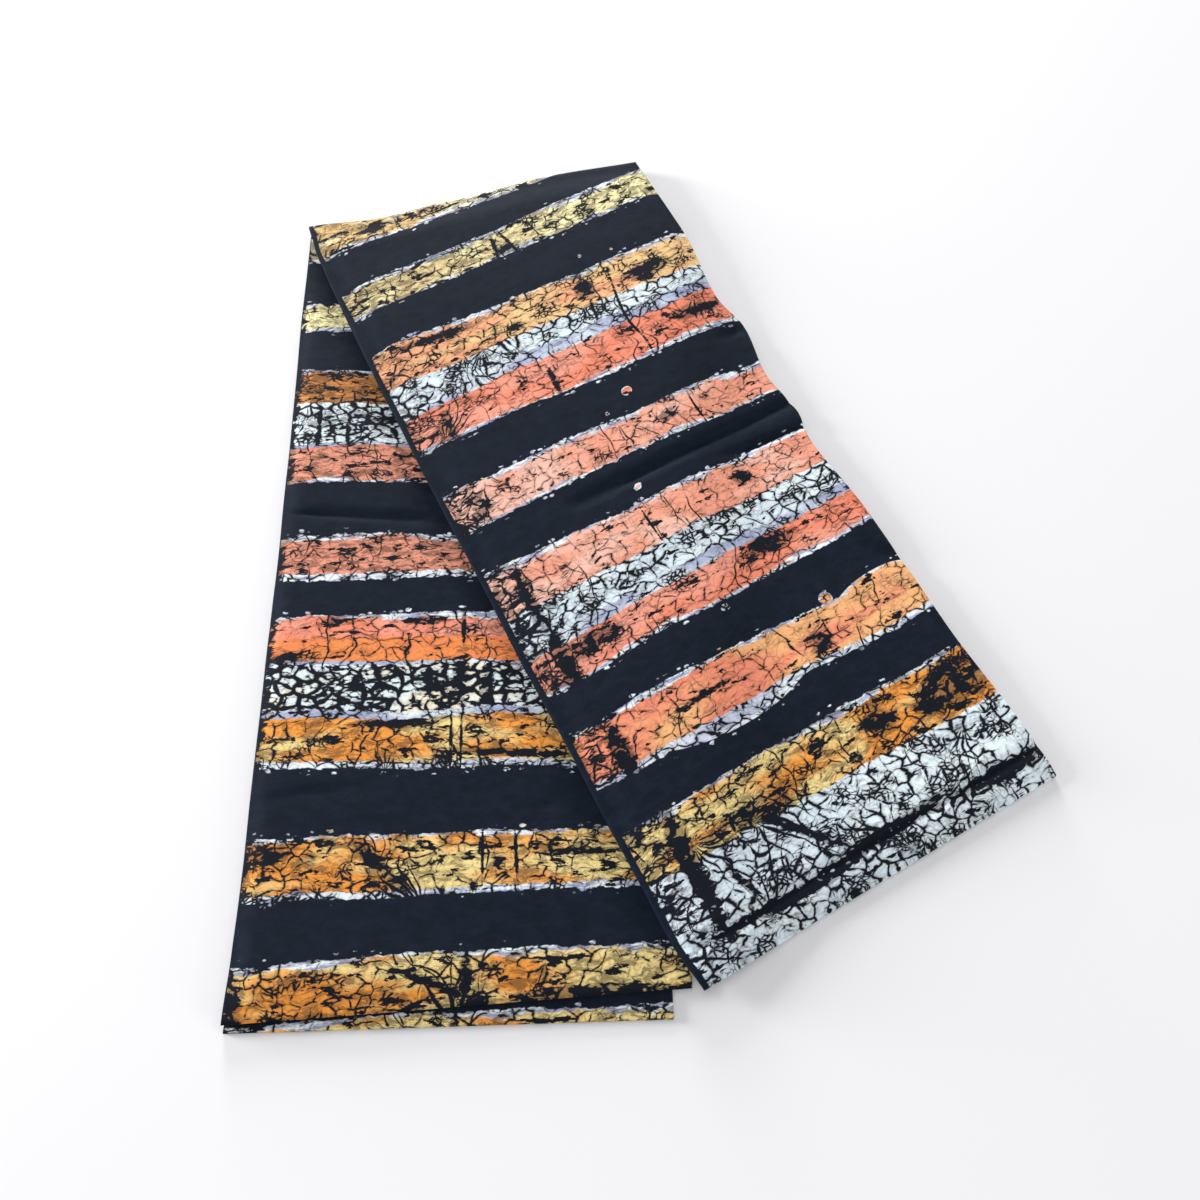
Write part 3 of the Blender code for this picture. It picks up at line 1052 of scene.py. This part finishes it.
    def crackle(self, place, bent, close, opening):
        """Depths into the cells of cracks, wide and close ones, and into the blackest patches,
        which the openings part."""
        patches = self.add("Math", self.clouds(place, *CLOUDS["wide cells"]),
                           self.clouds(place, *CLOUDS["single cells"]), operation="ADD")
        most = self.add("Math", close, WIDE_LINE_MOST, operation="MULTIPLY")
        half_width = self.line_width("wide cells", patches, close, most)
        depths = [self.cell_lines(bent, WIDE_CELL, half_width)]
        patches = self.clouds(place, *CLOUDS["close cells"])
        most = self.add("MapRange", close, *CLOSE_LINES_END)
        half_width = self.line_width("close cells", patches, close, most)
        depths.append(self.cell_lines(bent, CLOSE_CELL, half_width))
        between = self.add("Math", BLACKEST, opening, operation="SUBTRACT")
        depths.append(self.line_width("blackest patches", patches, close, between))
        return depths

    def long_cracks(self, place, bent, close):
        """Depth into the long cracks that run along the band."""
        sway = self.clouds(place, *CLOUDS["sway of long cracks"])
        across = self.add("SeparateXYZ", bent)
        row = self.weighted_sum(0.0, (across, 1.0 / CRACK_SPACING), (sway, CRACK_SWAY))
        edge = self.add("TexVoronoi", ("W", row), ("Scale", 1.0), feature="DISTANCE_TO_EDGE",
                        voronoi_dimensions="1D")
        patches = self.clouds(place, *CLOUDS["long cracks"])
        half_width = self.line_width("long cracks", patches, close, CRACK_MOST)
        return self.add("Math", edge, -CRACK_SPACING, half_width, operation="MULTIPLY_ADD")

    def marks(self, place):
        """How much the single dark marks add to the depth into the dark."""
        added = [0.0]
        for leg, along, across, half_across, half_along, turn, weight in by_leg(MARKS):
            u, v = across, self.signed(leg, along)
            c, s = math.cos(math.radians(turn)), math.sin(math.radians(turn))
            x_axis = (c / half_across, s / half_across, -(c * u + s * v) / half_across)
            y_axis = (-s / half_along, c / half_along, (s * u - c * v) / half_along)
            x = self.add("VectorMath", place, x_axis, operation="DOT_PRODUCT")
            y = self.add("VectorMath", place, y_axis, operation="DOT_PRODUCT")
            squared = self.weighted_sum(0.0, (x, x), (y, y))
            added.append(self.add("Math", squared, -weight, weight, operation="MULTIPLY_ADD"))
        return self.deepest(added)

    def fans(self, place, bent):
        """Depths into the cracks that fan out from single points."""
        place = self.add("VectorMath", place, bent, operation="ADD")
        place = self.add("VectorMath", place, ("Scale", 0.5), operation="SCALE")
        sway = self.clouds(place, *CLOUDS["sway of fans"])
        uneven = self.clouds(place, *CLOUDS["reach of fans"])
        uneven = self.add("Math", uneven, *FAN_UNEVEN, operation="MULTIPLY_ADD")
        depths = []
        for leg, along, across, heading, reach, count, half_width in by_leg(FANS):
            middle = (across, self.signed(leg, along), 1.0)
            gap = self.add("VectorMath", place, middle, operation="SUBTRACT")
            distance = self.add("VectorMath", gap, operation="LENGTH")
            turn = math.radians(heading if leg == "right" else -heading)
            axis = (math.cos(turn), math.sin(turn), 0.0)
            ahead = self.add("VectorMath", gap, axis, operation="DOT_PRODUCT")
            sideways = self.add("Math", distance, ahead, operation="SUBTRACT")
            parts = self.add("SeparateXYZ", gap).node.outputs
            angle = self.add("Math", parts["Y"], parts["X"], operation="ARCTAN2")
            spread = math.tau / count
            row = self.weighted_sum(0.0, (angle, 1.0 / spread), (sway, count * FAN_SWAY))
            edge = self.add("TexVoronoi", ("W", row), ("Scale", 1.0),
                            feature="DISTANCE_TO_EDGE", voronoi_dimensions="1D")
            beside = self.add("Math", edge, distance, operation="MULTIPLY")
            faded = self.add("Math", distance, uneven, operation="MULTIPLY")
            half = self.add("MapRange", faded, 0.0, reach, half_width, FAN_END)
            half = self.add("Math", sideways, FAN_NARROWING, half, operation="MULTIPLY_ADD")
            thinner = self.add("Math", distance, spread * FAN_FULLEST, operation="MULTIPLY")
            half = self.add("Math", half, thinner, operation="MINIMUM")
            depths.append(self.add("Math", beside, -spread, half, operation="MULTIPLY_ADD"))
        return depths

    def stain(self, kind, place, mottled, pressed):
        """Depth into blots or stains, deeper where the dye is mottled and at the dark marks."""
        by_clouds, by_mottling, by_marks, start = STAINS[kind]
        clouds = self.clouds(place, *CLOUDS[kind])
        return self.weighted_sum(start, (mottled, by_mottling), (pressed, by_marks),
                                 (clouds, by_clouds))

    def darkness(self, place, close, mottled, opening):
        """Depths into the black and into the brown of what the last bath reached in the stripes."""
        pressed = self.marks(place)
        opening = self.weighted_sum(opening, (close, 1.0), (pressed, OPENING_BY_MARKS))
        close = self.add("Math", pressed, CLOSENESS_BY_MARKS, close, operation="MULTIPLY_ADD")
        bent = self.bent(place)
        black = self.deepest([
            self.stain("blots", place, mottled, pressed),
            *self.crackle(place, bent, close, opening),
            self.long_cracks(place, bent, close),
            *self.fans(place, bent),
        ])
        grain = self.clouds(place, *CLOUDS["grain"])
        grain = self.add("Math", grain, GRAIN, -GRAIN / 2.0, operation="MULTIPLY_ADD")
        black = self.add("Math", black, grain, operation="ADD")
        brown = self.stain("brown stains", bent, mottled, pressed)
        return black, self.add("Math", brown, black, operation="MAXIMUM")

    def drift(self, place):
        """How far the first colour has drifted to the second: more towards the V's middle."""
        parts = self.add("SeparateXYZ", place).node.outputs
        side = self.add("Math", parts["Y"], operation="SIGN")
        across = self.add("Math", parts["X"], self.width / 2.0, operation="SUBTRACT")
        lean = self.add("Math", across, side, operation="MULTIPLY")
        shifted = self.add("Math", lean, -DRIFT_LEAN / self.width,
                           self.clouds(place, *CLOUDS["drift"]), operation="MULTIPLY_ADD")
        return self.add("MapRange", shifted, *DRIFT_FADE, interpolation_type="SMOOTHSTEP")

    def bare_edge(self, place, depth, brushed):
        """How much of the bare cotton along a stripe's edge shows, and its colour."""
        width = self.clouds(place, *CLOUDS["bare edge"])
        width = self.add("MapRange", width, *BARE_WIDTH)
        width = self.add("Math", brushed, BARE_BRUSHED, width, operation="MULTIPLY_ADD")
        over = self.add("Math", width, depth, operation="SUBTRACT")
        shown = self.add("MapRange", over, *BARE_FADE, interpolation_type="SMOOTHSTEP")
        lilac = self.clouds(place, *CLOUDS["lilac"])
        lilac = self.add("MapRange", lilac, *LILAC_FADE, interpolation_type="SMOOTHSTEP")
        colour = self.add("Mix", ("Factor", lilac), ("A", self.shared("bare")),
                          ("B", self.shared("lilac")), data_type="RGBA")
        return shown, colour

    def ground(self, place):
        """The colour of the dark ground, a little uneven from the last bath."""
        mottling = self.clouds(place, *CLOUDS["ground"])
        mottling = self.add("MapRange", mottling, *GROUND_UNEVEN)
        return self.add("VectorMath", self.shared("ground")[:3], ("Scale", mottling),
                        operation="SCALE")

    def dyed(self, place, depth, brushed):
        """How much of the stripes shows: none outside their wax, nor in the painted shade along the
        band's left edge, which stands in for the shadow there.
        """
        parts = self.add("SeparateXYZ", place).node.outputs
        on_right = self.add("Math", parts["Y"], 0.0, operation="GREATER_THAN")
        # Painted shade: the stripes give way to the dark ground along the left edge, wider on the
        # right leg
        edge_shade = self.add("Math", on_right, EDGE_SHADE_WIDTH, brushed, operation="MULTIPLY_ADD")
        from_edge_shade = self.add("Math", parts["X"], edge_shade, operation="SUBTRACT")
        depth = self.add("Math", depth, from_edge_shade, operation="MINIMUM")
        return self.add("MapRange", depth, *DYE_FADE, interpolation_type="SMOOTHSTEP")

    def dye_colour(self, place):
        """The colour of the cloth at a place on the dye map."""
        depth, first, second, close, mottled = self.read_stripes(self.wavering(place))
        depth, opening = self.spatter(place, self.drips(place, depth))
        brushed = self.clouds(place, *CLOUDS["brush strokes"])
        black, brown = self.darkness(place, close, mottled, opening)
        smoke = self.add("MapRange", brown, *BROWN_FADE, interpolation_type="SMOOTHSTEP")
        lines = self.add("MapRange", black, *BLACK_FADE, interpolation_type="SMOOTHSTEP")
        layers = (
            (self.drift(place), second),
            self.bare_edge(place, depth, brushed),
            (smoke, self.shared("brown")),
            (lines, self.shared("vein")),
        )
        colour = first
        for shown, layer in layers:
            colour = self.add("Mix", ("Factor", shown), ("A", colour), ("B", layer),
                              data_type="RGBA")
        return self.add("Mix", ("Factor", self.dyed(place, depth, brushed)),
                        ("A", self.ground(place)), ("B", colour), data_type="RGBA")

    def weave(self, place):
        """The threads of a plain weave as heights, drawn three times as coarse as they are, because
        the real ones, 0.35 mm apart, are too fine to show."""
        spacing = self.colours.thread_spacing / MM
        turned = self.add("VectorMath", place, ("Scale", math.tau / spacing), operation="SCALE")
        parts = self.add("SeparateXYZ", turned).node.outputs
        warp = self.add("Math", parts["X"], operation="SINE")
        weft = self.add("Math", parts["Y"], operation="SINE")
        threads = self.add("Math", warp, weft, operation="MULTIPLY")
        uneven = self.clouds(place, *CLOUDS["uneven threads"])
        return self.add("Math", uneven, THREAD_UNEVEN, threads, operation="MULTIPLY_ADD")

    def make(self):
        """Builds all the nodes and gives the material."""
        metres = self.add("UVMap", uv_map="dye map")
        place = self.add("VectorMath", metres, (1.0 / MM, 1.0 / MM, 0.0), (0.0, 0.0, 1.0),
                         operation="MULTIPLY_ADD")
        normal = self.add("Bump", ("Height", self.weave(place)), ("Strength", 0.35),
                          ("Distance", THREAD_HEIGHT))
        shader = self.add("BsdfPrincipled", ("Base Color", self.dye_colour(place)),
                          ("Roughness", 0.85), ("Specular IOR Level", 0.12), ("Normal", normal))
        self.add("OutputMaterial", ("Surface", shader))
        return self.material


class CLOTH_OT_sheet(bpy.types.Operator):
    """Makes the folded cloth and its dyed cotton"""

    bl_idname = "adire.sheet"
    bl_label = "Make the folded cloth"

    def execute(self, context):
        shape = BandShape(context.scene.cloth_sizes)
        mesh = band_mesh(shape, context.scene.cloth_sizes.heading)
        stand_on_solid(mesh)
        mesh.shade_smooth()
        mesh.materials.append(DyedCotton(shape, context.scene.dye_colours).make())
        cloth = bpy.data.objects.new("adire_cloth", mesh)
        context.scene.collection.objects.link(cloth)
        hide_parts("cloth")
        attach(cloth, "root")
        return {"FINISHED"}


def stand_on_solid(mesh):
    """Moves the sheet over its solid, whose box has the origin at the middle of its underside."""
    for axis in (0, 1):
        values = [point.co[axis] for point in mesh.vertices]
        middle = (min(values) + max(values)) / 2.0
        wanted = (SOLID_BOX[0][axis] + SOLID_BOX[1][axis]) / 2.0
        for point in mesh.vertices:
            point.co[axis] += wanted - middle


class CLOTH_OT_stage(bpy.types.Operator):
    """Makes the pale floor, the soft light and the camera"""

    bl_idname = "adire.stage"
    bl_label = "Make the stage"

    def execute(self, context):
        sizes = context.scene.stage_sizes
        bpy.ops.object.select_all(action="DESELECT")
        bpy.ops.mesh.primitive_plane_add(size=sizes.floor_width, location=(0.0, 0.0, 0.0))
        floor = context.object
        floor.name = "floor"
        floor.data.materials.append(pale_floor())
        for name, place, size, energy in LAMPS:
            bpy.ops.object.light_add(type="AREA", location=place)
            lamp = context.object
            lamp.name = name
            lamp.data.size = size
            lamp.data.energy = energy
            lamp.rotation_euler = (-Vector(place)).to_track_quat("-Z", "Y").to_euler()
        world = bpy.data.worlds.new("soft studio light")
        world.use_nodes = True
        world.node_tree.nodes["Background"].inputs["Color"].default_value = (1.0, 1.0, 1.0, 1.0)
        world.node_tree.nodes["Background"].inputs["Strength"].default_value = SKY_STRENGTH
        context.scene.world = world
        context.scene.view_settings.view_transform = "Standard"
        bpy.ops.object.camera_add()
        camera = context.object
        camera.data.lens = sizes.lens
        camera.matrix_world = (
            Matrix.Translation(sizes.camera_place)
            @ Matrix.Rotation(sizes.camera_tilt, 4, "X")
            @ Matrix.Rotation(sizes.camera_roll, 4, "Z")
        )
        context.scene.camera = camera
        return {"FINISHED"}


def pale_floor():
    """A matt white table: painted board, with no pattern of its own."""
    material = bpy.data.materials.new("matt white board")
    material.use_nodes = True
    shader = material.node_tree.nodes["Principled BSDF"]
    shader.inputs["Base Color"].default_value = linear("#E7E7EA")
    shader.inputs["Roughness"].default_value = 0.9
    return material


class CLOTH_PT_panel(bpy.types.Panel):
    """The sizes, the colours and the buttons"""

    bl_label = "Folded adire cloth"
    bl_space_type = "VIEW_3D"
    bl_region_type = "UI"
    bl_category = "Cloth"

    def draw(self, context):
        for group in ("cloth_sizes", "dye_colours", "stage_sizes"):
            settings = getattr(context.scene, group)
            for name in settings.bl_rna.properties.keys():
                if name not in ("rna_type", "name"):
                    self.layout.prop(settings, name)
        for operator in (CLOTH_OT_sheet, CLOTH_OT_stage):
            self.layout.operator(operator.bl_idname)


CLASSES = (ClothSizes, DyeColours, StageSizes, CLOTH_OT_sheet, CLOTH_OT_stage, CLOTH_PT_panel)


def register():
    for made in CLASSES:
        bpy.utils.register_class(made)
    bpy.types.Scene.cloth_sizes = bpy.props.PointerProperty(type=ClothSizes)
    bpy.types.Scene.dye_colours = bpy.props.PointerProperty(type=DyeColours)
    bpy.types.Scene.stage_sizes = bpy.props.PointerProperty(type=StageSizes)


def unregister():
    del bpy.types.Scene.stage_sizes
    del bpy.types.Scene.dye_colours
    del bpy.types.Scene.cloth_sizes
    for made in reversed(CLASSES):
        bpy.utils.unregister_class(made)


def main():
    register()
    bpy.ops.adire.sheet()
    bpy.ops.adire.stage()


if __name__ == "__main__":
    main()
